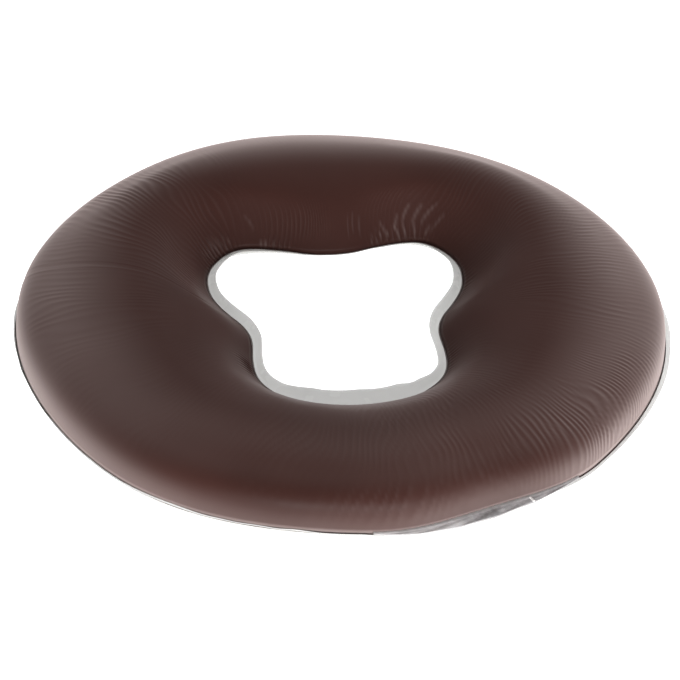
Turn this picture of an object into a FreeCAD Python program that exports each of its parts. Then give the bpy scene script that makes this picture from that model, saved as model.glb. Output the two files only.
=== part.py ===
import FreeCAD, Part
import math
import os

# Face cradle cushion: a ring-shaped gel pad for the head end of a massage table.
# A brown film covers the top, a clear film lies underneath, and soft gel fills the space between.
# The two films are welded along the outer rim and round the bell-shaped face opening.
# Frame: millimetres, origin at the middle of the base, +X to the right cheek,
# +Y towards the forehead, +Z up.

V = FreeCAD.Vector
os.makedirs("parts", exist_ok=True)

# Driving dimensions
RIM_WIDTH = 286.5           # rim weld, left to right
RIM_DEPTH = 265.2           # rim weld, chin side to forehead side
RIM_CENTRE = (-1.23, -0.15) # middle of the rim weld
RIM_TURN = -5.7             # the rim sits slightly askew to the face opening, degrees
RIM_STRAY = [(3, 0.26, 0.44), (4, 0.03, 0.51), (5, 0.17, 0.32), (6, 0.54, -0.74)]
WELD_HEIGHT = 12.0          # both welds, above the table
FILM = 0.6                  # thickness of each film
GAP = 0.1                   # bond line left free between neighbouring solids
BEAD_WIDTH = 0.7            # molten film squeezed out beside the welds
BEAD_HEIGHT = 0.6
RIM_MARGIN = 1.7            # clear film left outside the rim weld
RIM_CUT_SHIFT = (0.7, 0.3)  # the rim is cut a little off centre from its weld
COLLAR_WIDTH = 5.7          # clear film left inside the opening weld
COLLAR_CHIN_EXTRA = 2.8     # the collar is wider along the chin
COLLAR_TILT = 38.0          # the collar turns up towards the middle of the opening, degrees
NECK_FROM = -81.0           # the fill neck runs between these directions from the middle, degrees
NECK_TO = -47.0
NECK_DENT = 4.6             # how far the rim weld bends inwards behind the neck
NECK_CUT_BACK = 1.6         # how far the cut edge bends inwards there
NECK_REACH = 3.6            # width of the neck at its widest
NECK_SEAL_AT = 0.60         # where the closing weld crosses the neck, as a share of its length
NECK_SEAL_WIDTH = 1.3
NECK_SEAL_HEIGHT = 0.5
STATIONS = 72               # sections round the ring

# Every ring face is cut into the same sectors, each from one station to another.
SECTOR_COUNT = 8
SECTOR_LENGTH = STATIONS // SECTOR_COUNT
SECTORS = [(i * SECTOR_LENGTH, (i + 1) * SECTOR_LENGTH) for i in range(SECTOR_COUNT)]

MARGIN_TOP = WELD_HEIGHT - GAP
MARGIN_UNDERSIDE = MARGIN_TOP - FILM
BEAD_FAR = GAP + BEAD_WIDTH

# The weld round the face opening, right half, from the forehead to the chin: (x, y)
OPENING_WELD = [
    (0.0, 53.4), (11.3, 54.6), (18.0, 56.6), (25.6, 58.5), (34.4, 60.0),
    (43.0, 59.3), (49.7, 55.0), (54.6, 48.8), (57.7, 41.5), (58.4, 33.3),
    (57.0, 24.9), (53.3, 16.6), (49.1, 9.9), (45.4, 4.3), (43.4, -0.2),
    (42.2, -5.0), (42.0, -10.0), (42.6, -18.0), (42.6, -25.0), (41.8, -31.0),
    (39.6, -36.6), (36.0, -41.4), (31.0, -45.8), (22.5, -51.2), (11.6, -54.8),
    (0.0, -56.0),
]

# Cross-section of the top, from the opening weld to the rim weld.
# Each entry is (measured from, distance, height, lean of the surface from flat in degrees).
# "opening" and "rim" distances are in mm into the ring, "across" is a share of the ring's width.
# A height of None is the height of the welds.
TOP_SECTION = [
    ("opening", 0.0, None, -47.0),
    ("opening", 4.8, 17.4, -46.0),
    ("opening", 14.0, 27.6, -38.0),
    ("across", 0.34, 34.0, -12.0),
    ("across", 0.53, 36.3, 2.0),
    ("across", 0.71, 35.0, 12.0),
    ("rim", 14.0, 32.2, 30.0),
    ("rim", 2.0, 28.0, 60.0),
    ("rim", 0.0, 20.0, 90.0),
    ("rim", 0.0, None, 90.0),
]

# Cross-section underneath, from the rim weld down to the table and from the table up to the opening.
RIM_UNDERSIDE = [
    ("rim", 0.0, None, 90.0),
    ("rim", 1.6, 7.5, 118.0),
    ("rim", 8.0, 0.0, 180.0),
    ("rim", 20.0, 0.0, 180.0),
]
OPENING_UNDERSIDE = [
    ("opening", 17.0, 0.0, -180.0),
    ("opening", 7.0, 0.0, -180.0),
    ("opening", 1.4, 7.5, -118.0),
    ("opening", 0.0, None, -90.0),
]


def both_halves(right_half):
    """The closed outline, clockwise seen from above, from its right half."""
    left_half = [(-x, y) for x, y in reversed(right_half[1:-1])]
    return right_half + left_half


def smooth_outline(points, height):
    """A smooth closed curve through the points, at one height."""
    curve = Part.BSplineCurve()
    curve.interpolate(Points=[V(x, y, height) for x, y in points], PeriodicFlag=True)
    return curve


def rim_outline(direction, grow, shift=(0.0, 0.0)):
    """A point of the rim outline, grown outwards, in one direction from the rim's middle."""
    turned = direction - math.radians(RIM_TURN)
    half_width = RIM_WIDTH / 2 + grow
    half_depth = RIM_DEPTH / 2 + grow
    reach = 1.0 / math.hypot(math.cos(turned) / half_width, math.sin(turned) / half_depth)
    for waves, even, odd in RIM_STRAY:
        reach += even * math.cos(waves * direction) + odd * math.sin(waves * direction)
    x = RIM_CENTRE[0] + shift[0] + reach * math.cos(direction)
    y = RIM_CENTRE[1] + shift[1] + reach * math.sin(direction)
    return V(x, y, 0)


def neck_swell(direction):
    """0 away from the fill neck, rising smoothly to 1 at its middle."""
    share = (math.degrees(direction) - NECK_FROM) / (NECK_TO - NECK_FROM)
    if share <= 0.0 or share >= 1.0:
        return 0.0
    return math.sin(math.pi * share) ** 2


def rim_weld(direction):
    """Where the rim weld lies in one direction, and which way is outwards there."""
    ahead = rim_outline(direction + 0.01, 0.0)
    behind = rim_outline(direction - 0.01, 0.0)
    outward = V(ahead.y - behind.y, behind.x - ahead.x, 0).normalize()
    return rim_outline(direction, 0.0) - outward * NECK_DENT * neck_swell(direction), outward


# One station per section round the ring: where it meets each weld, and which way is into the ring.
stations = []
opening_curve = smooth_outline(both_halves(OPENING_WELD), 0)
for place in opening_curve.discretize(Number=STATIONS + 1)[:-1]:
    along = opening_curve.tangent(opening_curve.parameter(place))[0]
    rim, outward = rim_weld(math.atan2(place.y, place.x))
    stations.append((V(place.x, place.y, 0), V(-along.y, along.x, 0), rim, outward))


def rail(mark, inset, weld_height):
    """A closed line round the ring that follows one entry of a section, moved inside by inset."""
    origin, distance, height, lean = mark
    sideways = inset * math.sin(math.radians(lean))
    level = weld_height
    if height is None:
        sideways = inset / math.sin(math.radians(lean))
    else:
        level = height - inset * math.cos(math.radians(lean))
    points = []
    for weld, into_ring, rim, outward in stations:
        if origin == "opening":
            spot = weld + into_ring * (distance - sideways)
        elif origin == "rim":
            spot = rim - outward * (distance + sideways)
        else:
            spot = weld + (rim - weld) * distance - outward * sideways
        points.append(V(spot.x, spot.y, level))
    return points


def section(marks, inset, weld_height):
    return [rail(mark, inset, weld_height) for mark in marks]


def closed_curve(points):
    """The closed curve through a rail; every rail shares the same spacing."""
    curve = Part.BSplineCurve()
    spacing = [float(i) for i in range(len(points) + 1)]
    curve.interpolate(Points=points, PeriodicFlag=True, Parameters=spacing)
    return curve


def flat_band(inner, outer):
    """The flat faces between two closed lines at the same height, one for each sector."""
    faces = []
    for first, last in SECTORS:
        edges = [
            closed_curve(inner).toShape(first, last),
            Part.makeLine(inner[last % STATIONS], outer[last % STATIONS]),
            closed_curve(outer).toShape(first, last),
            Part.makeLine(outer[first], inner[first]),
        ]
        faces.append(Part.Face(Part.Wire(Part.__sortEdges__(edges))))
    return faces


def curved_band(rails):
    """The faces swept by a row of rails: straight across for two, smooth for four or more."""
    curves = [closed_curve(points) for points in rails]
    degree = min(3, len(rails) - 1)
    spans = len(rails) - degree
    surface = Part.BSplineSurface()
    surface.buildFromPolesMultsKnots(
        [list(row) for row in zip(*[curve.getPoles() for curve in curves])],
        curves[0].getMultiplicities(),
        [degree + 1] + [1] * (spans - 1) + [degree + 1],
        curves[0].getKnots(),
        [float(i) for i in range(spans + 1)],
        True,
        False,
        3,
        degree,
    )
    return [surface.toShape(first, last, 0, spans) for first, last in SECTORS]


def solid_of(bands):
    """The closed solid whose skin is the given bands of faces."""
    shell = Part.makeShell([face for band in bands for face in band])
    shell.sewShape()
    solid = Part.makeSolid(Part.Shell(shell.Faces))
    if solid.Volume < 0:
        solid.reverse()
    return solid


def keep(shape, node):
    if not shape.isValid() or shape.Volume <= 0:
        raise ValueError(node + " isn't a closed solid")
    shape.exportStep("parts/" + node + ".step")


# Gel: fills the envelope, just clear of both films.
gel_inset = FILM + GAP
gel_top = section(TOP_SECTION, gel_inset, WELD_HEIGHT)
gel_rim = section(RIM_UNDERSIDE, gel_inset, WELD_HEIGHT)
gel_opening = section(OPENING_UNDERSIDE, gel_inset, WELD_HEIGHT)
gel_opening[-1] = gel_top[0]
gel_core = solid_of([
    curved_band(gel_top),
    curved_band(gel_rim),
    flat_band(gel_opening[0], gel_rim[-1]),
    curved_band(gel_opening),
])
keep(gel_core, "gel_core")

# Brown top film: a skin of even thickness that ends square on the clear margin at both welds.
film_outside = section(TOP_SECTION, 0.0, WELD_HEIGHT)
film_inside = section(TOP_SECTION, FILM, WELD_HEIGHT)
top_film = solid_of([
    curved_band(film_outside),
    flat_band(film_inside[-1], film_outside[-1]),
    curved_band(film_inside),
    flat_band(film_outside[0], film_inside[0]),
])
keep(top_film, "top_film")

# Clear bottom film: lies flat on the table, rises to both welds and runs past them as a flat margin.
under_rim = section(RIM_UNDERSIDE, 0.0, MARGIN_UNDERSIDE)
under_opening = section(OPENING_UNDERSIDE, 0.0, MARGIN_UNDERSIDE)
inside_rim = section(RIM_UNDERSIDE, FILM, MARGIN_TOP)
inside_opening = section(OPENING_UNDERSIDE, FILM, MARGIN_TOP)


def rim_cut(height):
    points = []
    for weld, into_ring, rim, outward in stations:
        direction = math.atan2(rim.y, rim.x)
        margin = RIM_MARGIN - NECK_CUT_BACK * neck_swell(direction)
        edge = rim_outline(direction, margin, RIM_CUT_SHIFT)
        points.append(V(edge.x, edge.y, height))
    return points


def collar_edge(inset):
    """The cut edge of the collar, on its upper face or moved under it by inset."""
    tilt = math.radians(COLLAR_TILT)
    points = []
    for weld, into_ring, rim, outward in stations:
        chin_share = max(0.0, -weld.y / weld.Length) ** 3
        reach = COLLAR_WIDTH + COLLAR_CHIN_EXTRA * chin_share - BEAD_FAR - GAP
        sideways = BEAD_FAR + GAP + reach * math.cos(tilt) + inset * math.sin(tilt)
        spot = weld - into_ring * sideways
        level = MARGIN_TOP + reach * math.sin(tilt) - inset * math.cos(tilt)
        points.append(V(spot.x, spot.y, level))
    return points


foot = BEAD_FAR + GAP
foot_under = foot + FILM * math.tan(math.radians(COLLAR_TILT / 2))
collar_foot = rail(("opening", -foot, MARGIN_TOP, 0.0), 0.0, WELD_HEIGHT)
collar_foot_under = rail(("opening", -foot_under, MARGIN_UNDERSIDE, 0.0), 0.0, WELD_HEIGHT)

bottom_film = solid_of([
    flat_band(under_rim[0], rim_cut(MARGIN_UNDERSIDE)),
    curved_band(under_rim),
    flat_band(under_opening[0], under_rim[-1]),
    curved_band(under_opening),
    flat_band(collar_foot_under, under_opening[-1]),
    curved_band([collar_foot_under, collar_edge(FILM)]),
    curved_band([collar_edge(FILM), collar_edge(0.0)]),
    curved_band([collar_edge(0.0), collar_foot]),
    flat_band(collar_foot, inside_opening[-1]),
    curved_band(inside_opening),
    flat_band(inside_opening[0], inside_rim[-1]),
    curved_band(inside_rim),
    flat_band(inside_rim[0], rim_cut(MARGIN_TOP)),
    curved_band([rim_cut(MARGIN_TOP), rim_cut(MARGIN_UNDERSIDE)]),
])
keep(bottom_film, "bottom_film")


def weld_bead(origin):
    """A low bead on the clear margin: upright beside the edge of the top film, sloping down away from it."""
    profile = [(-GAP, 0.0), (-GAP, BEAD_HEIGHT), (-BEAD_FAR / 2, BEAD_HEIGHT), (-BEAD_FAR, 0.0)]
    corners = []
    for distance, rise in profile:
        corners.append(rail((origin, distance, WELD_HEIGHT + rise, 0.0), 0.0, WELD_HEIGHT))
    sides = [curved_band([corners[i], corners[i + 1]]) for i in range(3)]
    inner, outer = (corners[3], corners[0]) if origin == "rim" else (corners[0], corners[3])
    return solid_of(sides + [flat_band(inner, outer)])


keep(weld_bead("rim"), "outer_weld")
keep(weld_bead("opening"), "inner_weld")

# Fill neck: a crescent of film on the margin, outside the bent part of the rim weld.
neck_inner = []
neck_outer = []
for step in range(13):
    share = step / 12
    spot, outward = rim_weld(math.radians(NECK_FROM + share * (NECK_TO - NECK_FROM)))
    start = spot + outward * (BEAD_FAR + GAP)
    neck_inner.append(V(start.x, start.y, WELD_HEIGHT))
    end = start + outward * NECK_REACH * math.sin(math.pi * share)
    neck_outer.append(V(end.x, end.y, WELD_HEIGHT))


def open_curve(points):
    curve = Part.BSplineCurve()
    curve.interpolate(Points=points)
    return curve.toShape()


neck_outline = Part.Wire([open_curve(neck_inner), open_curve(neck_outer[::-1])])
keep(Part.Face(neck_outline).extrude(V(0, 0, FILM)), "fill_neck")

# The short weld that closes the neck crosses it from the rim weld to the cut edge.
seal_direction = math.radians(NECK_FROM + NECK_SEAL_AT * (NECK_TO - NECK_FROM))
seal_spot, seal_outward = rim_weld(seal_direction)
seal_length = NECK_REACH * math.sin(math.pi * NECK_SEAL_AT)
seal = Part.makeBox(seal_length, NECK_SEAL_WIDTH, NECK_SEAL_HEIGHT)
seal.translate(V(BEAD_FAR + GAP, -NECK_SEAL_WIDTH / 2, WELD_HEIGHT + FILM + GAP))
seal.rotate(V(0, 0, 0), V(0, 0, 1), math.degrees(math.atan2(seal_outward.y, seal_outward.x)))
seal.translate(seal_spot)
keep(seal, "fill_neck_seal")
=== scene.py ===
import math

import bpy
import numpy as np
from mathutils import Matrix, Vector


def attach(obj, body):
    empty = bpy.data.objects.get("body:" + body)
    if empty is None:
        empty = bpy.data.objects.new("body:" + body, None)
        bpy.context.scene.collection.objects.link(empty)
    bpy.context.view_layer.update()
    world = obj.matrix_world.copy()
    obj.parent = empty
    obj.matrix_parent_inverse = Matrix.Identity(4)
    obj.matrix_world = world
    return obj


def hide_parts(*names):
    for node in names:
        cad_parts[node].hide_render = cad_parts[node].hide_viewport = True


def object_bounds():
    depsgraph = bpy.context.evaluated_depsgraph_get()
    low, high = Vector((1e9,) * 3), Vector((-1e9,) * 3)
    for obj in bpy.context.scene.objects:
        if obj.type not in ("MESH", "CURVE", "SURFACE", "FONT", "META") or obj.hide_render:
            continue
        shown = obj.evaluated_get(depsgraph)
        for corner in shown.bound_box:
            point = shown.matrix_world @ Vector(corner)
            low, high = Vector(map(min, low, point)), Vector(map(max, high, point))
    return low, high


# Face cradle cushion: a ring-shaped gel pad with a satin brown film over the top and a clear film
# underneath, welded together round the rim and round the bell-shaped face opening.
# Lengths are in millimetres until a mesh is made. Directions are in degrees, seen from above,
# from +X (the right cheek) round by +Y (the forehead). "u" is the place round the ring, from 0 to 1,
# and "s" the place across its top, from 0 at the opening weld to 1 at the rim weld.

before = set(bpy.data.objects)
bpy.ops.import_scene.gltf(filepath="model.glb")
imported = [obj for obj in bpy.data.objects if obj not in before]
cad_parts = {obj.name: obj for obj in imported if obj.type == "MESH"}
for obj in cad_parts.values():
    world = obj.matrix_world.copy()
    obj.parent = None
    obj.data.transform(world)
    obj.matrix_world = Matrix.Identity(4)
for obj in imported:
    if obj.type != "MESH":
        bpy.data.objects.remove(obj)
cad_low, cad_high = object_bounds()
MM = 0.001

# ---------------------------------------------------------------- the pad's own sizes
# The rim, the opening, the sections, WELD_HEIGHT and FILM are the CAD part's. The neck, the margins
# outside the welds, TOP_FILM, GEL_INSET and OPENING_DRAWN_BACK are this model's own.
RIM_WIDTH = 286.5
RIM_DEPTH = 265.2
RIM_CENTRE = (-1.23, -0.15)
RIM_TURN = -5.7
RIM_STRAY = [(3, 0.26, 0.44), (4, 0.03, 0.51), (5, 0.17, 0.32), (6, 0.54, -0.74)]
WELD_HEIGHT = 12.0
FILM = 0.6
TOP_FILM = 0.5
GEL_INSET = 0.7
NECK_FROM = -91.0
NECK_TO = -45.5
NECK_DENT = 6.0
# The flap of film that is left there: where it ends, its reach, and where along it the closing weld is
FLAP_TO = -50.5
NECK_REACH = 4.6
NECK_SEAL_AT = 0.74
NECK_ROUNDING = 1.3

OPENING_WELD = [
    (0.0, 53.4), (11.3, 54.6), (18.0, 56.6), (25.6, 58.5), (34.4, 60.0),
    (43.0, 59.3), (49.7, 55.0), (54.6, 48.8), (57.7, 41.5), (58.4, 33.3),
    (57.0, 24.9), (53.3, 16.6), (49.1, 9.9), (45.4, 4.3), (43.4, -0.2),
    (42.2, -5.0), (42.0, -10.0), (42.6, -18.0), (42.6, -25.0), (41.8, -31.0),
    (39.6, -36.6), (36.0, -41.4), (31.0, -45.8), (22.5, -51.2), (11.6, -54.8),
    (0.0, -56.0),
]

# (measured from, distance, height, lean of the surface in degrees); None is the weld's own height
TOP_SECTION = [
    ("opening", 0.0, None, -47.0),
    ("opening", 4.8, 17.4, -46.0),
    ("opening", 14.0, 27.6, -38.0),
    ("across", 0.34, 34.0, -12.0),
    ("across", 0.53, 36.3, 2.0),
    ("across", 0.71, 35.0, 12.0),
    ("rim", 14.0, 32.2, 30.0),
    ("rim", 2.0, 28.0, 60.0),
    ("rim", 0.0, 20.0, 90.0),
    ("rim", 0.0, None, 90.0),
]
RIM_UNDERSIDE = [
    ("rim", 0.0, None, 90.0),
    ("rim", 1.6, 7.5, 118.0),
    ("rim", 8.0, 0.0, 180.0),
    ("rim", 20.0, 0.0, 180.0),
]
OPENING_UNDERSIDE = [
    ("opening", 17.0, 0.0, -180.0),
    ("opening", 7.0, 0.0, -180.0),
    ("opening", 1.4, 7.5, -118.0),
    ("opening", 0.0, None, -90.0),
]
# How much further under the pad each of those four lines lies at the forehead edge, and how far
# to each side of DRAWN_BACK_MIDDLE that reaches
OPENING_DRAWN_BACK = [4.0, 8.5, 5.0, 0.0]
DRAWN_BACK_MIDDLE = 84.0
DRAWN_BACK_REACH = 52.0

# ---------------------------------------------------------------- what the films do on their own
# Clear film left outside the rim weld: (direction, width, tilt upwards from flat)
RIM_MARGIN = [
    (-170.0, 1.5, 62.0), (-140.0, 1.4, 78.0), (-112.0, 1.4, 80.0), (-95.0, 1.5, 55.0),
    (-84.0, 1.7, 8.0), (-64.0, 1.5, 0.0), (-48.0, 1.7, 4.0), (-38.0, 2.0, 10.0),
    (-20.0, 2.6, 4.0), (0.0, 2.9, 2.0),
    (20.0, 2.7, 4.0), (50.0, 2.4, 10.0), (90.0, 2.0, 20.0), (130.0, 1.8, 35.0), (160.0, 1.7, 45.0),
]
# Clear collar inside the opening weld: (direction, width, tilt upwards from flat)
COLLAR = [
    (-90.0, 9.2, 38.0), (-70.0, 8.5, 38.0), (-58.0, 6.7, 38.0), (-46.0, 5.2, 38.0),
    (-35.0, 5.0, 38.0), (-15.0, 5.6, 38.0), (5.0, 5.6, 38.0), (30.0, 5.2, 38.0),
    (46.0, 5.0, 38.0), (60.0, 2.4, 38.0),
    (74.0, 1.7, 38.0), (96.0, 1.7, 38.0), (108.0, 3.4, 36.0), (120.0, 5.0, 34.0), (134.0, 5.2, 37.0),
    (150.0, 4.7, 38.0), (175.0, 5.2, 38.0), (195.0, 5.2, 38.0), (215.0, 5.2, 38.0), (230.0, 5.8, 38.0),
    (250.0, 8.4, 38.0),
]

# Ripples of the top film. Each entry is
# (ridges round the whole ring, middle direction, reach to each side, from s, to s, height,
#  ridges passed on the way across, wander of the ridges, sharpness, seed)
RIPPLES = [
    (196, 141.0, 30.0, 0.03, 0.86, 0.130, 3.0, 1.5, 0.9, 12),
    (214, 176.0, 26.0, 0.30, 0.90, 0.036, 3.0, 1.6, 0.6, 13),
    (240, 28.0, 44.0, 0.04, 0.66, 0.085, 6.0, 1.8, 0.9, 11),
    (262, 14.0, 46.0, 0.50, 0.96, 0.070, 2.0, 1.5, 0.8, 19),
    (206, 6.0, 40.0, 0.30, 0.80, 0.055, 4.0, 1.6, 0.8, 20),
    (312, -42.0, 26.0, 0.56, 1.02, 0.150, -3.0, 2.6, 0.8, 31),
    (296, -36.0, 22.0, 0.60, 1.02, 0.100, 4.0, 2.2, 0.8, 33),
    (246, -62.0, 24.0, 0.30, 0.92, 0.085, 5.0, 1.4, 1.0, 21),
    (196, -86.0, 40.0, 0.01, 0.84, 0.085, 6.0, 1.7, 1.0, 15),
    (150, -95.0, 24.0, 0.74, 0.985, 0.140, 11.0, 1.2, 0.4, 16),
    (150, -76.0, 17.0, 0.74, 0.985, 0.140, -13.0, 1.0, 0.4, 22),
    (214, 104.0, 17.0, 0.02, 0.28, 0.200, 2.0, 0.9, 0.9, 17),
    (236, 62.0, 14.0, 0.06, 0.34, 0.100, 2.0, 0.9, 1.4, 23),
    (250, -60.0, 60.0, 0.05, 0.70, 0.030, -3.0, 2.2, 0.6, 24),
    (290, 90.0, 60.0, 0.60, 0.98, 0.020, 0.0, 2.0, 0.5, 25),
    (260, 218.0, 30.0, 0.10, 0.90, 0.014, 3.0, 2.4, 0.5, 18),
]
# Gathers of the film right at the opening weld: (middle direction, reach, depth across in s, height)
GATHERS = [
    (134.0, 13.0, 0.13, 0.55), (113.0, 7.0, 0.06, 0.45), (61.0, 16.0, 0.14, 0.30),
    (-147.0, 9.0, 0.11, 0.35), (-90.0, 42.0, 0.12, 0.22), (20.0, 30.0, 0.08, 0.12),
    (165.0, 20.0, 0.08, 0.10), (-35.0, 18.0, 0.08, 0.14),
]
GATHERS_ROUND = 205
GATHERS_SHARPNESS = 1.2
# Fine sharp creases beside the two lobes and on the left of the opening:
# (direction, from s, to s, sideways run, height), each as wide as CREASE_WIDTH, in degrees
CREASE_WIDTH = 0.40
CREASES = [
    (70.5, 0.02, 0.0488, 1.6, 0.10), (68.6, 0.02, 0.056, 1.4, 0.12), (66.6, 0.03, 0.0804, 1.5, 0.14),
    (65.4, 0.05, 0.122, 1.3, 0.14), (64.0, 0.03, 0.0732, 1.2, 0.16), (62.6, 0.06, 0.154, -1.0, 0.14),
    (61.2, 0.02, 0.092, 1.0, 0.18), (60.2, 0.1, 0.215, -1.4, 0.14), (59.0, 0.02, 0.092, 0.8, 0.18),
    (57.6, 0.09, 0.22, -1.6, 0.14), (56.4, 0.02, 0.106, 0.6, 0.14), (55.2, 0.1, 0.23, -1.8, 0.13),
    (53.6, 0.03, 0.102, -0.6, 0.12), (52.0, 0.08, 0.195, -1.6, 0.10), (74.8, 0.07, 0.164, -0.6, 0.07),
    (77.6, 0.08, 0.195, -0.6, 0.07), (80.2, 0.07, 0.178, -0.5, 0.06), (120.6, 0.1, 0.172, 1.4, 0.07),
    (118.0, 0.02, 0.0416, 1.2, 0.16), (116.0, 0.015, 0.0366, 1.5, 0.18), (114.4, 0.02, 0.0416, 1.0, 0.14),
    (127.5, 0.03, 0.10, 1.2, 0.09), (129.6, 0.02, 0.09, 1.0, 0.11), (131.4, 0.03, 0.12, 0.8, 0.11),
    (133.0, 0.02, 0.10, 0.6, 0.13), (134.6, 0.03, 0.13, -0.6, 0.11), (136.4, 0.02, 0.11, -0.8, 0.11),
    (138.2, 0.03, 0.12, -1.0, 0.09), (140.4, 0.02, 0.09, -1.0, 0.08), (212.6, 0.03, 0.10, 1.0, 0.06),
    (214.4, 0.02, 0.11, 0.8, 0.08), (216.2, 0.03, 0.12, 0.6, 0.07),
]

# The fullness of the film along the chin end of the opening, beyond its section
CHIN_FULLNESS = 0.9
# Broad unevenness of the whole film
BROAD_SWELL = 0.35

# Painted sheen on the film: a pale colour mixed in where the film is seen along its surface, standing in
# for the reflection of the bright surroundings. Its strength on the outer slope, which is the same all
# round, the places in s where it begins and where it is in full, its strength on the slope down to the
# opening, which is weaker there as painted shade, and how much stronger it is there at the chin
OUTER_PAINTED_SHEEN = 0.50
PAINTED_SHEEN_BEGINS = 0.43
PAINTED_SHEEN_FULL = 0.77
INNER_PAINTED_SHEEN = 0.05
INNER_PAINTED_SHEEN_AT_CHIN = 0.05
# How fast the painted sheen fades as the film turns to face the eye, and how much paler its folds are
# (painted highlight on the ripple crests, partly the whitening of creased film)
PAINTED_SHEEN_FALLOFF = 1.65
FOLD_WHITENING_AND_HIGHLIGHT = 0.10

# How fine the meshes are: columns round the ring, and rows across
COLUMNS = 1840
UNDER_COLUMNS = 720
GEL_COLUMNS = 360
LINE_COLUMNS = 1680
TOP_ROWS = 48
INSIDE_ROWS = 6
GEL_ROWS = 30
# How much closer together the top film's rows lie halfway across
ROW_CROWDING = 0.136
# Points between two neighbours of an outline, and points along a whole one
FINE_STEPS = 200
OUTLINE_POINTS = 6000
# Brings drift() up to between about -1 and 1
DRIFT_GAIN = 1.8


# ---------------------------------------------------------------- curves and grids
def closed_spline(points, count):
    """A smooth closed curve through the points, as points at even steps along it."""
    knots = np.asarray(points, float)
    step = np.linalg.norm(np.roll(knots, -1, 0) - knots, axis=1)
    before = np.roll(step, 1)
    size = len(knots)
    rows = np.arange(size)
    system = np.zeros((size, size))
    system[rows, rows] = 2 / before + 2 / step
    system[rows, rows - 1] = 1 / before
    system[rows, (rows + 1) % size] = 1 / step
    ahead = (np.roll(knots, -1, 0) - knots) / step[:, None] ** 2
    behind = (knots - np.roll(knots, 1, 0)) / before[:, None] ** 2
    slopes = np.linalg.solve(system, 3 * (ahead + behind))
    fine = np.linspace(0, 1, FINE_STEPS, endpoint=False)[None, :, None]
    p, q = knots[:, None], np.roll(knots, -1, 0)[:, None]
    m, n = (slopes * step[:, None])[:, None], (np.roll(slopes, -1, 0) * step[:, None])[:, None]
    line = (p * (2 * fine**3 - 3 * fine**2 + 1) + m * (fine**3 - 2 * fine**2 + fine)
            + q * (3 * fine**2 - 2 * fine**3) + n * (fine**3 - fine**2))
    line = line.reshape(-1, knots.shape[1])
    return even_steps(line, count)


def even_steps(line, count, guide=None):
    """A closed line resampled at even steps along it, or along a guide line of as many points."""
    guide = line if guide is None else guide
    lengths = np.linalg.norm(np.roll(guide, -1, 0) - guide, axis=1)
    along = np.concatenate([[0.0], np.cumsum(lengths)])
    closed = np.vstack([line, line[:1]])
    wanted = np.linspace(0, along[-1], count, endpoint=False)
    return np.stack([np.interp(wanted, along, closed[:, k]) for k in range(line.shape[1])], axis=1)


def turned(vectors):
    """Flat vectors turned a quarter round to the left."""
    return np.stack([-vectors[:, 1], vectors[:, 0]], axis=1)


def unit(vectors):
    return vectors / np.linalg.norm(vectors, axis=-1, keepdims=True)


def clamped_spline(count, places):
    """Weights of a clamped cubic spline's control points at the given places from 0 to 1."""
    degree = min(3, count - 1)
    inner = np.linspace(0, 1, count - degree + 1)
    knots = np.concatenate([[0.0] * degree, inner, [1.0] * degree])
    places = np.clip(np.asarray(places, float), 0, 1 - 1e-9)
    weights = []
    for i in range(len(knots) - 1):
        weights.append(((knots[i] <= places) & (places < knots[i + 1])).astype(float))
    for d in range(1, degree + 1):
        raised = []
        for i in range(len(knots) - d - 1):
            left = knots[i + d] - knots[i]
            right = knots[i + d + 1] - knots[i + 1]
            part = 0.0
            if left > 0:
                part = part + (places - knots[i]) / left * weights[i]
            if right > 0:
                part = part + (knots[i + d + 1] - places) / right * weights[i + 1]
            raised.append(part)
        weights = raised
    return np.stack(weights, axis=1)


def round_the_ring(table, directions):
    """Values listed by direction, joined smoothly round the ring."""
    rows = sorted(table)
    at = np.array([row[0] for row in rows])
    values = np.array([row[1:] for row in rows])
    at = np.append(at, at[0] + 360)
    values = np.vstack([values, values[:1]])
    place = (directions - at[0]) % 360 + at[0]
    found = np.clip(np.searchsorted(at, place, side="right") - 1, 0, len(at) - 2)
    share = (place - at[found]) / (at[found + 1] - at[found])
    eased = share * share * (3 - 2 * share)
    return values[found] + (values[found + 1] - values[found]) * eased[:, None]


def window(directions, middle, reach):
    """1 in the middle direction, falling smoothly to 0 at reach on each side."""
    away = np.abs((directions - middle + 180) % 360 - 180) / reach
    return np.where(away < 1, 0.5 + 0.5 * np.cos(np.pi * np.clip(away, 0, 1)), 0.0)


def ramp(values, start, end):
    """0 up to start, 1 from end on, and smooth between them."""
    share = np.clip((values - start) / (end - start), 0, 1)
    return share * share * (3 - 2 * share)


def spline_weights(f):
    """The shares of four neighbouring grid values at a place f of the way between the middle two."""
    return [
        (1 - f) ** 3 / 6,
        (3 * f**3 - 6 * f**2 + 4) / 6,
        (-3 * f**3 + 3 * f**2 + 3 * f + 1) / 6,
        f**3 / 6,
    ]


def drift(seed, round_count, across_count, u, s):
    """Smooth random unevenness between about -1 and 1, repeating round the ring."""
    grid = np.random.default_rng(seed).uniform(-1, 1, (round_count, across_count + 3))
    x = u * round_count
    y = np.clip(s, 0, 1) * across_count
    i = np.floor(x).astype(int)
    j = np.clip(np.floor(y).astype(int), 0, across_count - 1)
    wx = spline_weights(x - i)
    wy = spline_weights(y - j)
    total = 0.0
    for a in range(4):
        for b in range(4):
            total = total + wx[a] * wy[b] * grid[(i + a) % round_count, j + b]
    return total * DRIFT_GAIN


def drift_round(seed, round_count, u):
    """Unevenness that changes round the ring only."""
    return drift(seed, round_count, 1, u, np.zeros_like(u))


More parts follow.
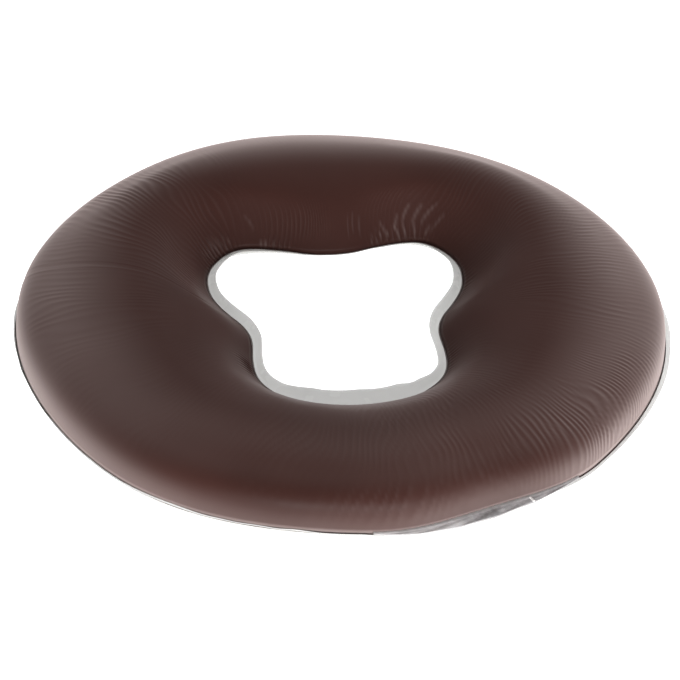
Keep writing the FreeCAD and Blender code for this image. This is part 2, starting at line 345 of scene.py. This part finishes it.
# ---------------------------------------------------------------- stations round the ring
def rim_outline(direction):
    """The rim weld without the dent at the neck: a turned ellipse with small strays."""
    angle = direction - math.radians(RIM_TURN)
    reach = 1 / np.hypot(np.cos(angle) / (RIM_WIDTH / 2), np.sin(angle) / (RIM_DEPTH / 2))
    for waves, even, odd in RIM_STRAY:
        reach = reach + even * np.cos(waves * direction) + odd * np.sin(waves * direction)
    return np.stack([
        RIM_CENTRE[0] + reach * np.cos(direction),
        RIM_CENTRE[1] + reach * np.sin(direction),
    ], axis=1)


def neck_swell(direction):
    """How far into the dent at the neck a direction is, from 0 at its ends to 1 in its middle."""
    share = np.clip((np.degrees(direction) - NECK_FROM) / (NECK_TO - NECK_FROM), 0, 1)
    return np.sin(np.pi * share) ** 2


def rim_weld(direction):
    """Points of the rim weld in the given directions, and which way is outwards there."""
    nudge = 0.01
    outward = -turned(unit(rim_outline(direction + nudge) - rim_outline(direction - nudge)))
    return rim_outline(direction) - outward * (NECK_DENT * neck_swell(direction))[:, None], outward


def angle_of(points):
    return np.arctan2(points[:, 1], points[:, 0])


class Stations:
    """Where each column of a grid meets both welds, and which ways are into the ring and outwards."""

    def __init__(self, count):
        outline = OPENING_WELD[::-1] + [(-x, y) for x, y in OPENING_WELD[1:-1]]
        opening = closed_spline(outline, OUTLINE_POINTS)
        middle = (opening + rim_weld(angle_of(opening))[0]) / 2
        self.opening = even_steps(opening, count, guide=middle)
        self.into = -turned(unit(np.roll(self.opening, -1, 0) - np.roll(self.opening, 1, 0)))
        self.angle = angle_of(self.opening)
        self.rim, self.outward = rim_weld(self.angle)
        self.direction = np.degrees(angle_of((self.opening + self.rim) / 2))
        self.u = np.arange(count) / count


def rail(at, mark, inset, weld_height):
    """A closed line round the ring that follows one entry of a section, moved inside by inset."""
    origin, distance, height, lean = mark
    sideways = inset * math.sin(math.radians(lean))
    level = weld_height
    if height is None:
        sideways = inset / math.sin(math.radians(lean))
    else:
        level = height - inset * math.cos(math.radians(lean))
    if origin == "opening":
        spot = at.opening + at.into * (distance - sideways)
    elif origin == "rim":
        spot = at.rim - at.outward * (distance + sideways)
    else:
        spot = at.opening + (at.rim - at.opening) * distance - at.outward * sideways
    return np.column_stack([spot, np.full(len(spot), level)])


def under_opening_rails(at, inset, weld_height):
    """The lines that shape the underside at the opening, which draws back under the forehead edge."""
    share = window(np.degrees(at.angle), DRAWN_BACK_MIDDLE, DRAWN_BACK_REACH)
    rails = []
    for mark, drawn_back in zip(OPENING_UNDERSIDE, OPENING_DRAWN_BACK):
        shift = at.into * (drawn_back * share)[:, None]
        rails.append(rail(at, mark, inset, weld_height) + np.column_stack([shift, np.zeros(len(share))]))
    return rails


def sheet_through(rails, places):
    """A grid of points, columns round the ring by rows across, on the surface the rails control."""
    return np.einsum("rm,mcd->crd", clamped_spline(len(rails), places), np.stack(rails))


def even_places(rails, count, warp=lambda x: x):
    """Places across a surface that give rows at even steps on average, or packed as warp says."""
    fine = np.linspace(0, 1, 400)
    sample = sheet_through([line[::20] for line in rails], fine)
    lengths = np.linalg.norm(np.diff(sample, axis=1), axis=2).mean(0)
    along = np.concatenate([[0], np.cumsum(lengths)])
    return np.interp(warp(np.linspace(0, 1, count)) * along[-1], along, fine)


def grid_normals(grid):
    """Unit vectors square to the surface at each point of a grid."""
    around = np.roll(grid, -1, 0) - np.roll(grid, 1, 0)
    across = np.gradient(grid, axis=1)
    return unit(np.cross(around, across))


# ---------------------------------------------------------------- making meshes
def tube(name, loops):
    """A closed skin from a grid of points that joins up with itself both ways."""
    columns, rows = loops.shape[:2]
    c, r = np.meshgrid(np.arange(columns), np.arange(rows), indexing="ij")
    c2, r2 = (c + 1) % columns, (r + 1) % rows
    faces = np.stack([c * rows + r, c2 * rows + r, c2 * rows + r2, c * rows + r2], axis=-1)
    return mesh_piece(name, loops.reshape(-1, 3), faces.reshape(-1, 4))


def mesh_piece(name, points, faces):
    """A smooth-shaded object from points in millimetres and faces with equal numbers of corners."""
    mesh = bpy.data.meshes.new(name)
    mesh.vertices.add(len(points))
    mesh.vertices.foreach_set("co", (points * MM).astype(np.float32).ravel())
    mesh.loops.add(faces.size)
    mesh.loops.foreach_set("vertex_index", faces.astype(np.int32).ravel())
    mesh.polygons.add(len(faces))
    mesh.polygons.foreach_set("loop_start", np.arange(0, faces.size, faces.shape[1], dtype=np.int32))
    mesh.update(calc_edges=True)
    mesh.validate()
    mesh.polygons.foreach_set("use_smooth", np.full(len(mesh.polygons), True))
    piece = bpy.data.objects.new(name, mesh)
    bpy.context.scene.collection.objects.link(piece)
    return piece


def outwards(piece):
    """Turns the skin's faces outwards if they point into the solid."""
    mesh = piece.data
    mesh.calc_loop_triangles()
    count = len(mesh.loop_triangles)
    corners = np.zeros(count * 3, np.int32)
    mesh.loop_triangles.foreach_get("vertices", corners)
    co = np.zeros(len(mesh.vertices) * 3, np.float32)
    mesh.vertices.foreach_get("co", co)
    a, b, c = co.reshape(-1, 3).astype(float)[corners.reshape(-1, 3)].transpose(1, 0, 2)
    if np.einsum("ij,ij->i", a, np.cross(b, c)).sum() < 0:
        mesh.flip_normals()
    return piece


def note(piece, name, values):
    """Keeps one number per point of a mesh, for its material to read."""
    layer = piece.data.attributes.new(name, "FLOAT", "POINT")
    layer.data.foreach_set("value", values.astype(np.float32).ravel())


# ---------------------------------------------------------------- top film
def crowded_to_middle(share):
    """Even shares from 0 to 1, moved to lie a little closer together halfway."""
    return share + ROW_CROWDING * np.sin(2 * np.pi * share) / (2 * np.pi)


ring = Stations(COLUMNS)
cols_direction = ring.direction[:, None]
cols_u = ring.u[:, None]

top_rails = [rail(ring, mark, 0.0, WELD_HEIGHT) for mark in TOP_SECTION]
top_places = even_places(top_rails, TOP_ROWS, crowded_to_middle)
top = sheet_through(top_rails, top_places)
top_normals = -grid_normals(top)
if top_normals[:, TOP_ROWS // 2, 2].mean() < 0:
    top_normals = -top_normals
row_steps = np.linalg.norm(np.diff(top, axis=1), axis=2)
run = np.concatenate([np.zeros((COLUMNS, 1)), np.cumsum(row_steps, axis=1)], axis=1)
s = run / run[:, -1:]


def ridge(phase, sharpness):
    """Evenly spaced ridges, 0.6 high at their crests, which are narrower than the hollows between."""
    return (np.exp(sharpness * (np.cos(phase) - 1)) - np.exp(-sharpness)) / (1 - np.exp(-sharpness)) - 0.4


relief = BROAD_SWELL * drift(3, 24, 4, cols_u, s) * ramp(s, 0.05, 0.3) * ramp(1 - s, 0.05, 0.3)
# Paler colour kept for the crests of the ripples and gathers: painted highlight, standing in for the
# light on those ridges. Along the sharp creases it is partly the whitening of creased film and partly
# painted highlight.
whitening_and_highlight = np.zeros_like(s)
for ridges, middle, reach, first, last, height, passed, wander, sharp, seed in RIPPLES:
    patch = window(cols_direction, middle, reach) ** 0.6
    patch = patch * ramp(s, first, first + 0.12) * ramp(1 - s, 1 - last, 1.1 - last)
    patch = patch * np.clip(0.65 + 0.85 * drift(seed + 100, 48, 9, cols_u, s), 0.05, 1.5)
    bend = wander * drift(seed, 26, 3, cols_u, s)
    bend = bend + 0.55 * wander * drift(seed + 50, 90, 9, cols_u, s)
    phase = 2 * np.pi * (ridges * cols_u + passed * s + bend)
    relief = relief + height * patch * ridge(phase, sharp)
    whitening_and_highlight = whitening_and_highlight + height * patch * (ridge(phase, sharp) + 0.2)
for middle, reach, depth, height in GATHERS:
    ends_at = depth + 0.05 * drift_round(60, 180, cols_u)
    patch = window(cols_direction, middle, reach) * ramp(s, 0.0, 0.012) * (1 - ramp(s, 0.03, ends_at))
    phase = 2 * np.pi * (GATHERS_ROUND * cols_u + 0.9 * drift(61, 60, 2, cols_u, s))
    relief = relief + height * patch * ridge(phase, GATHERS_SHARPNESS)
    whitening_and_highlight = whitening_and_highlight + 0.7 * height * patch * (ridge(phase, GATHERS_SHARPNESS) + 0.1)
for middle, first, last, sideways, height in CREASES:
    along = np.clip((s - first) / (last - first), 0, 1)
    line = middle + sideways * (along + 0.35 * along * along)
    away = np.abs((cols_direction - line + 180) % 360 - 180) / CREASE_WIDTH
    fold = height * np.exp(-away**2) * np.sin(np.pi * along) ** 0.5
    relief = relief + fold
    whitening_and_highlight = whitening_and_highlight + 3 * fold
relief = relief * ramp(s, 0.0, 0.02) * ramp(1 - s, 0.0, 0.02)
fuller = window(cols_direction, -82.0, 52.0) * ramp(s, 0.0, 0.07) * ramp(1 - s, 0.72, 0.9)
relief = relief + CHIN_FULLNESS * fuller

top_out = top + top_normals * relief[..., None]
inside_rails = [rail(ring, mark, TOP_FILM, WELD_HEIGHT) for mark in TOP_SECTION]
inside = sheet_through(inside_rails, np.linspace(1, 0, INSIDE_ROWS))
top_film = outwards(tube("brown_top_film", np.concatenate([top_out, inside], axis=1)))
# Painted shade in the sheen: it is weaker on the slope down to the opening, and stronger towards the
# chin, set by direction round the ring.
inner_painted_sheen = INNER_PAINTED_SHEEN + INNER_PAINTED_SHEEN_AT_CHIN * window(cols_direction, -88.0, 60.0)
painted_sheen_amount = inner_painted_sheen + (OUTER_PAINTED_SHEEN - inner_painted_sheen) * ramp(s, PAINTED_SHEEN_BEGINS, PAINTED_SHEEN_FULL)
inner_rows = np.zeros((COLUMNS, INSIDE_ROWS))
note(top_film, "whitening_and_highlight", np.concatenate([np.clip(whitening_and_highlight, 0, 1), inner_rows], axis=1).ravel())
note(top_film, "painted_sheen", np.concatenate([painted_sheen_amount, inner_rows], axis=1).ravel())

# ---------------------------------------------------------------- gel filling
gel_ring = Stations(GEL_COLUMNS)
gel_top = [rail(gel_ring, mark, GEL_INSET, WELD_HEIGHT) for mark in TOP_SECTION]
gel_rim = [rail(gel_ring, mark, GEL_INSET, WELD_HEIGHT) for mark in RIM_UNDERSIDE]
gel = np.concatenate([
    sheet_through(gel_top, even_places(gel_top, GEL_ROWS)),
    sheet_through(gel_rim, np.linspace(0.1, 1, 8)),
    sheet_through(under_opening_rails(gel_ring, GEL_INSET, WELD_HEIGHT), np.linspace(0, 0.9, 8)),
], axis=1)
gel_filling = outwards(tube("gel_filling", gel))

# ---------------------------------------------------------------- clear film underneath
under_ring = Stations(UNDER_COLUMNS)
MARGIN_TOP = WELD_HEIGHT - 0.1
MARGIN_UNDER = MARGIN_TOP - FILM
FOOT = 0.9
STRIP_SHARES = [0.0, 0.3, 0.6, 0.85, 1.0]

margin = round_the_ring(RIM_MARGIN, np.degrees(angle_of(under_ring.rim)))
collar = round_the_ring(COLLAR, np.degrees(under_ring.angle))


def strip_point(start, way, along, tilt, lift, foot):
    """Points on a strip that leaves the weld flat for its foot and then turns up by tilt."""
    turn = np.radians(tilt)
    flat = np.minimum(along, foot)
    rest = along - flat
    spot = start + way * (flat + rest * np.cos(turn) - lift * np.sin(turn) * (rest > 0))[:, None]
    level = MARGIN_TOP + rest * np.sin(turn) + lift * np.where(rest > 0, np.cos(turn), 1.0)
    return np.column_stack([spot, level])


def strip_rows(start, way, width, tilt, lift, wave):
    """Rows of one face of a strip; lift, which fades towards the free edge, is its height off the top."""
    rows = []
    foot = np.minimum(FOOT, 0.28 * width)
    thin = np.clip(width / 4.5, 0.35, 1.0)
    for share in STRIP_SHARES:
        reach = foot + (width - foot) * share
        off = lift * thin * (1 - 0.6 * share) + wave * share
        rows.append(strip_point(start, way, reach, tilt, off, foot))
    return np.stack(rows, axis=1)


def strip_faces(start, way, width, tilt, wave):
    """Both faces of a strip as grids of rows from the weld to the free edge."""
    upper = strip_rows(start, way, width, tilt, 0.0, wave)
    lower = strip_rows(start, way, width, tilt, -FILM, wave)
    return upper, lower


def underside(inset, height, shares):
    """The part that wraps under the rim and the part that comes back up at the opening."""
    rim_rails = [rail(under_ring, mark, inset, height) for mark in RIM_UNDERSIDE]
    opening_rails = under_opening_rails(under_ring, inset, height)
    return sheet_through(rim_rails, shares), sheet_through(opening_rails, shares)


round_u = under_ring.u
rim_wave = 0.25 * drift_round(71, 150, round_u)
collar_wave = 0.22 * drift_round(72, 60, round_u) + 0.08 * drift_round(73, 140, round_u)
margin_width = margin[:, 0] + 0.2 * drift_round(74, 80, round_u)
collar_width = collar[:, 0] + 0.12 * drift_round(75, 70, round_u)
margin_upper, margin_lower = strip_faces(
    under_ring.rim, under_ring.outward, margin_width, margin[:, 1], rim_wave)
collar_upper, collar_lower = strip_faces(
    under_ring.opening, -under_ring.into, collar_width, collar[:, 1], collar_wave)
under_rim, under_opening = underside(0.0, MARGIN_UNDER, np.linspace(0, 1, 12))
over_rim, over_opening = underside(FILM, MARGIN_TOP, np.linspace(1, 0, 10))
under_loops = np.concatenate([
    margin_lower[:, ::-1], under_rim, under_opening, collar_lower,
    collar_upper[:, ::-1], over_opening, over_rim, margin_upper,
], axis=1)
under_film = outwards(tube("clear_under_film", under_loops))


# ---------------------------------------------------------------- weld lines
WELD_DASHES = 420
RIM_BEAD = 0.8
OPENING_BEAD = 0.5


def weld_line(name, start, way, seed, u, size):
    """A low rounded bead on the clear margin, pressed in short dashes by the welding tool."""
    dashes = 0.5 + 0.5 * np.cos(2 * np.pi * WELD_DASHES * u)
    swell = 1 + 0.25 * drift_round(seed, 90, u) - 0.18 * dashes
    rows = []
    for turn in np.linspace(0, 2 * np.pi, 10, endpoint=False):
        sideways = 0.05 + size * (0.40 + 0.38 * math.cos(turn))
        lift = size * (0.20 + 0.30 * math.sin(turn) * swell)
        rows.append(np.column_stack([start + way * sideways, MARGIN_TOP + lift]))
    return outwards(tube(name, np.stack(rows, axis=1)))


line_ring = Stations(LINE_COLUMNS)
line_u = line_ring.u
rim_line = weld_line("rim_weld_line", line_ring.rim, line_ring.outward, 81, line_u, RIM_BEAD)
opening_line = weld_line(
    "opening_weld_line", line_ring.opening, -line_ring.into, 82, line_u, OPENING_BEAD)

# ---------------------------------------------------------------- fill neck
neck_share = np.linspace(0, 1, 120)
neck_angle = np.radians(NECK_FROM + neck_share * (FLAP_TO - NECK_FROM))
neck_weld, neck_out = rim_weld(neck_angle)
neck_width = NECK_REACH * np.sin(np.pi * neck_share) ** NECK_ROUNDING + 0.05
NECK_STEPS = 8
NECK_THICKNESS = 0.5
NECK_WAVES = 5
NECK_START = 0.15
neck_shares = np.linspace(0, 1, NECK_STEPS + 1)
neck_lower = []
for share in neck_shares:
    lip = max(0.0, 1 - share * NECK_STEPS)
    reach = NECK_START + (FOOT - NECK_START) * (1 - lip) + neck_width * share
    wave = np.sin(2 * np.pi * (neck_share * NECK_WAVES + share)) * share * np.sin(np.pi * neck_share)
    level = WELD_HEIGHT + 0.2 + 0.5 * lip + 0.25 * wave
    neck_lower.append(np.column_stack([neck_weld + neck_out * reach[:, None], level]))
neck_upper = [row + (0.0, 0.0, NECK_THICKNESS) for row in neck_lower[::-1]]
neck = np.stack(neck_lower + neck_upper, axis=1)


def capped(name, grid):
    """A closed skin from rows that join up with themselves, capped flat at both ends."""
    columns, rows = grid.shape[:2]
    c, r = np.meshgrid(np.arange(columns - 1), np.arange(rows), indexing="ij")
    r2 = (r + 1) % rows
    here = c * rows
    ahead = (c + 1) * rows
    sides = np.stack([here + r, ahead + r, ahead + r2, here + r2], axis=-1).reshape(-1, 4)
    half = rows // 2
    caps = []
    for base in (0, (columns - 1) * rows):
        for k in range(half - 1):
            quad = [base + k, base + k + 1, base + rows - 2 - k, base + rows - 1 - k]
            caps.append(quad if base == 0 else quad[::-1])
    return outwards(mesh_piece(name, grid.reshape(-1, 3), np.vstack([sides, np.array(caps)])))


fill_neck = capped("fill_neck_flap", neck)
# The flap is paler along its edge beside the weld, and along its free edge: partly the whitening of the
# folded film, partly a painted highlight on the fold. It is also paler over its first part, fading out
# halfway along.
flap_across = np.concatenate([neck_shares, neck_shares[::-1]])
flap_fold_whitening_and_highlight = np.where(flap_across < 0.06, 1.0, np.where(flap_across > 0.9, 0.35, 0.0))
paler = 0.5 * (1 - ramp(neck_share, 0.25, 0.5))
note(fill_neck, "edge", np.maximum(flap_fold_whitening_and_highlight[None, :], paler[:, None]).ravel())

SEAL_HALF_WIDTH = 0.6
SEAL_LIFT = 0.95
SEAL_HALF_HEIGHT = 0.28
seal_angle = np.radians(np.array([NECK_FROM + NECK_SEAL_AT * (FLAP_TO - NECK_FROM)]))
seal_weld, seal_out = rim_weld(seal_angle)
seal_side = turned(seal_out)
seal_rows = []
seal_places = np.linspace(0, 1, 14)
seal_length = NECK_REACH * math.sin(math.pi * NECK_SEAL_AT) ** NECK_ROUNDING
for turn in np.linspace(0, 2 * np.pi, 12, endpoint=False):
    spot = seal_weld + seal_out * (FOOT + seal_length * seal_places)[:, None]
    spot = spot + seal_side * SEAL_HALF_WIDTH * math.cos(turn)
    height = WELD_HEIGHT + SEAL_LIFT + SEAL_HALF_HEIGHT * math.sin(turn)
    level = np.full(len(seal_places), height)
    seal_rows.append(np.column_stack([spot, level]))
neck_weld_line = capped("fill_neck_weld", np.stack(seal_rows, axis=1))


# ---------------------------------------------------------------- materials
def join(tree, source, target):
    tree.links.new(source, target)


def shader(name):
    """A new material with one Principled surface."""
    material = bpy.data.materials.new(name)
    material.use_nodes = True
    tree = material.node_tree
    tree.nodes.clear()
    out = tree.nodes.new("ShaderNodeOutputMaterial")
    surface = tree.nodes.new("ShaderNodeBsdfPrincipled")
    join(tree, surface.outputs["BSDF"], out.inputs["Surface"])
    return material, tree, surface


def noise(tree, scale, detail, roughness=0.5):
    """A noise pattern fixed to the object; scale is in patches per metre."""
    place = tree.nodes.new("ShaderNodeTexCoord")
    found = tree.nodes.new("ShaderNodeTexNoise")
    found.inputs["Scale"].default_value = scale
    found.inputs["Detail"].default_value = detail
    found.inputs["Roughness"].default_value = roughness
    join(tree, place.outputs["Object"], found.inputs["Vector"])
    return found.outputs["Fac"]


def levels(tree, value, stops):
    """A colour ramp from (place, colour) stops; a plain number is a grey."""
    ramp_node = tree.nodes.new("ShaderNodeValToRGB")
    elements = ramp_node.color_ramp.elements
    while len(elements) < len(stops):
        elements.new(0.5)
    for element, (place, colour) in zip(elements, stops):
        element.position = place
        if isinstance(colour, float):
            colour = (colour, colour, colour)
        element.color = (*colour, 1.0)
    join(tree, value, ramp_node.inputs["Fac"])
    return ramp_node.outputs["Color"]


def bump(tree, surface, height, distance, strength):
    """Fine grain on a surface, distance deep in metres."""
    node = tree.nodes.new("ShaderNodeBump")
    node.inputs["Distance"].default_value = distance
    node.inputs["Strength"].default_value = strength
    join(tree, height, node.inputs["Height"])
    join(tree, node.outputs["Normal"], surface.inputs["Normal"])
    return node


def uneven_gloss(tree, surface, pattern, smooth, rough):
    """Roughness between two values, as a pattern says."""
    stops = [(0.3, smooth), (0.7, rough)]
    join(tree, levels(tree, pattern, stops), surface.inputs["Roughness"])


def math_node(tree, operation):
    node = tree.nodes.new("ShaderNodeMath")
    node.operation = operation
    return node


def point_value(tree, name):
    """The number kept under a name for each point of the mesh."""
    node = tree.nodes.new("ShaderNodeAttribute")
    node.attribute_name = name
    return node.outputs["Fac"]


def brown_film():
    """Dark brown satin film, turned pale by a painted sheen where it is seen along its surface."""
    material, tree, surface = shader("brown_film")
    tone = noise(tree, 14.0, 3.0)
    stops = [(0.3, (0.0320, 0.0116, 0.0090)), (0.7, (0.0420, 0.0155, 0.0122))]
    join(tree, levels(tree, tone, stops), surface.inputs["Base Color"])
    uneven_gloss(tree, surface, noise(tree, 60.0, 4.0), 0.42, 0.52)
    surface.inputs["Specular IOR Level"].default_value = 0.09
    grain = bump(tree, surface, noise(tree, 2300.0, 2.0), 0.00003, 0.6)

    # Painted sheen: a pale diffuse colour, mixed in by how far the film turns from the eye and by the
    # amount kept for each point.
    painted_sheen = tree.nodes.new("ShaderNodeBsdfDiffuse")
    stops = [(0.3, (0.84, 0.68, 0.65)), (0.7, (0.94, 0.79, 0.76))]
    join(tree, levels(tree, noise(tree, 30.0, 3.0), stops), painted_sheen.inputs["Color"])
    join(tree, grain.outputs["Normal"], painted_sheen.inputs["Normal"])
    view = tree.nodes.new("ShaderNodeLayerWeight")
    view.inputs["Blend"].default_value = 0.5
    amount = math_node(tree, "POWER")
    amount.inputs[1].default_value = PAINTED_SHEEN_FALLOFF
    join(tree, view.outputs["Facing"], amount.inputs[0])
    share = math_node(tree, "MULTIPLY")
    join(tree, amount.outputs["Value"], share.inputs[0])
    join(tree, point_value(tree, "painted_sheen"), share.inputs[1])
    # The paler crests and creases go into the same pale mix: painted highlight, partly the whitening of
    # creased film.
    total = math_node(tree, "MULTIPLY_ADD")
    total.inputs[1].default_value = FOLD_WHITENING_AND_HIGHLIGHT
    join(tree, point_value(tree, "whitening_and_highlight"), total.inputs[0])
    join(tree, share.outputs["Value"], total.inputs[2])
    both = tree.nodes.new("ShaderNodeMixShader")
    join(tree, total.outputs["Value"], both.inputs["Fac"])
    join(tree, surface.outputs["BSDF"], both.inputs[1])
    join(tree, painted_sheen.outputs["BSDF"], both.inputs[2])
    out = next(node for node in tree.nodes if node.type == "OUTPUT_MATERIAL")
    join(tree, both.outputs["Shader"], out.inputs["Surface"])
    return material


def clear_film(name, tint, alpha):
    """Glossy see-through film, clouded a little unevenly."""
    material, tree, surface = shader(name)
    low = tuple(c * 0.93 for c in tint)
    cloud = levels(tree, noise(tree, 40.0, 4.0), [(0.3, low), (0.7, tint)])
    join(tree, cloud, surface.inputs["Base Color"])
    uneven_gloss(tree, surface, noise(tree, 90.0, 3.0), 0.18, 0.32)
    surface.inputs["Alpha"].default_value = alpha
    bump(tree, surface, noise(tree, 700.0, 3.0), 0.00005, 0.5)
    return material


def flap_film():
    """The neck's two clear films laid on each other: greyer, streaked, and white along the folds, partly
    as a painted highlight.
    """
    material, tree, surface = shader("flap_film")
    grey_stops = [(0.35, (0.20, 0.19, 0.195)), (0.65, (0.52, 0.50, 0.51))]
    streaks = levels(tree, noise(tree, 110.0, 4.0, 0.65), grey_stops)
    white_stops = [(0.3, (0.80, 0.78, 0.78)), (0.7, (0.95, 0.94, 0.94))]
    white = levels(tree, noise(tree, 300.0, 2.0), white_stops)
    colour = tree.nodes.new("ShaderNodeMix")
    colour.data_type = "RGBA"
    shades = [socket for socket in colour.inputs if socket.type == "RGBA"]
    join(tree, point_value(tree, "edge"), colour.inputs[0])
    join(tree, streaks, shades[0])
    join(tree, white, shades[1])
    blended = next(socket for socket in colour.outputs if socket.type == "RGBA")
    join(tree, blended, surface.inputs["Base Color"])
    uneven_gloss(tree, surface, noise(tree, 90.0, 3.0), 0.18, 0.32)
    surface.inputs["Alpha"].default_value = 0.8
    bump(tree, surface, noise(tree, 500.0, 3.0), 0.0001, 0.6)
    return material


def gel_material():
    """Brownish gel that lets some light in."""
    material, tree, surface = shader("clear_gel")
    stops = [(0.3, (0.16, 0.095, 0.080)), (0.7, (0.22, 0.135, 0.110))]
    join(tree, levels(tree, noise(tree, 25.0, 3.0), stops), surface.inputs["Base Color"])
    uneven_gloss(tree, surface, noise(tree, 50.0, 2.0), 0.25, 0.4)
    surface.inputs["Subsurface Weight"].default_value = 0.3
    surface.inputs["Subsurface Scale"].default_value = 0.006
    return material


def weld_material(name, darker, lighter):
    """Melted film in a line, mottled between two browns."""
    material, tree, surface = shader(name)
    mottle = levels(tree, noise(tree, 500.0, 3.0), [(0.35, darker), (0.65, lighter)])
    join(tree, mottle, surface.inputs["Base Color"])
    uneven_gloss(tree, surface, noise(tree, 300.0, 2.0), 0.25, 0.45)
    bump(tree, surface, noise(tree, 1500.0, 2.0), 0.00004, 0.6)
    return material


brown = brown_film()
clear = clear_film("clear_film", (0.74, 0.74, 0.72), 0.55)
pale_weld = clear_film("pale_weld", (0.90, 0.88, 0.87), 0.9)
flap_look = flap_film()
gel_look = gel_material()
weld_look = weld_material("weld_seam", (0.022, 0.008, 0.007), (0.048, 0.020, 0.018))
# The opening weld gets a lighter copy of the weld colour: painted light, to offset the shade under the
# film's edge there.
opening_weld_painted_lighter_look = weld_material("weld_seam_opening_painted_lighter", (0.060, 0.028, 0.023), (0.100, 0.055, 0.047))

for piece, material, slot, nodes in (
    (top_film, brown, "brown_film", ["top_film"]),
    (gel_filling, gel_look, "clear_gel", ["gel_core"]),
    (under_film, clear, "clear_film", ["bottom_film"]),
    (rim_line, weld_look, "weld_seam", ["outer_weld"]),
    (opening_line, opening_weld_painted_lighter_look, "weld_seam", ["inner_weld"]),
    (fill_neck, flap_look, "clear_film", ["fill_neck"]),
    (neck_weld_line, pale_weld, "clear_film", ["fill_neck_seal"]),
):
    piece.data.materials.append(material)
    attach(piece, "root")
    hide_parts(*nodes)

# ---------------------------------------------------------------- floor, light and camera
# Metres from here on. The floor gives off light, so that hardly any shadow shows on it.
FLOOR_GLOW = 0.65
FLOOR_HALF = 4
FLOOR_GAP = 0.0002
floor_corners = [(x * FLOOR_HALF, y * FLOOR_HALF, 0) for x, y in ((-1, -1), (1, -1), (1, 1), (-1, 1))]
floor_mesh = bpy.data.meshes.new("floor")
floor_mesh.from_pydata(floor_corners, [], [(0, 1, 2, 3)])
floor = bpy.data.objects.new("floor", floor_mesh)
bpy.context.scene.collection.objects.link(floor)
floor.location.z = cad_low.z - FLOOR_GAP
floor_look, floor_tree, floor_surface = shader("pale_floor")
floor_tones = levels(floor_tree, noise(floor_tree, 3.0, 2.0), [(0.3, 0.90), (0.7, 0.92)])
join(floor_tree, floor_tones, floor_surface.inputs["Base Color"])
floor_surface.inputs["Roughness"].default_value = 0.9
floor_surface.inputs["Emission Color"].default_value = (1.0, 1.0, 1.0, 1.0)
floor_surface.inputs["Emission Strength"].default_value = FLOOR_GLOW
floor.data.materials.append(floor_look)

world = bpy.data.worlds.new("studio")
world.use_nodes = True
background = world.node_tree.nodes["Background"]
background.inputs["Color"].default_value = (1.0, 1.0, 1.0, 1.0)
background.inputs["Strength"].default_value = 0.52
bpy.context.scene.world = world
bpy.context.scene.view_settings.view_transform = "Standard"


def softbox(name, place, size, power):
    """A rectangular lamp that is turned to the middle of the floor."""
    light = bpy.data.lights.new(name, "AREA")
    light.shape = "RECTANGLE"
    light.size, light.size_y = size
    light.energy = power
    lamp = bpy.data.objects.new(name, light)
    bpy.context.scene.collection.objects.link(lamp)
    lamp.location = place
    lamp.rotation_mode = "QUATERNION"
    lamp.rotation_quaternion = (-Vector(place)).to_track_quat("-Z", "Y")
    return lamp


back_light = softbox("back", (0.8, 1.8, 0.80), (2.2, 0.7), 40.0)
# It lights the film from behind but isn't mirrored in it.
back_light.visible_glossy = False
softbox("front", (0.0, -1.6, 0.30), (1.6, 0.5), 37.0)

CAMERA_PLACE = Vector((-0.12288, -0.84610, 0.70725))
CAMERA_AIM = Vector((-0.00227, -0.00493, 0.00872))
CAMERA_ROLL = 2.51
camera_data = bpy.data.cameras.new("camera")
camera_data.lens = 131.1
camera_data.sensor_width = 36.0
camera_data.clip_start = 0.05
camera = bpy.data.objects.new("camera", camera_data)
bpy.context.scene.collection.objects.link(camera)
look = (CAMERA_AIM - CAMERA_PLACE).to_track_quat("-Z", "Y").to_matrix().to_4x4()
roll = Matrix.Rotation(math.radians(CAMERA_ROLL), 4, "Z")
camera.matrix_world = Matrix.Translation(CAMERA_PLACE) @ look @ roll
bpy.context.scene.camera = camera
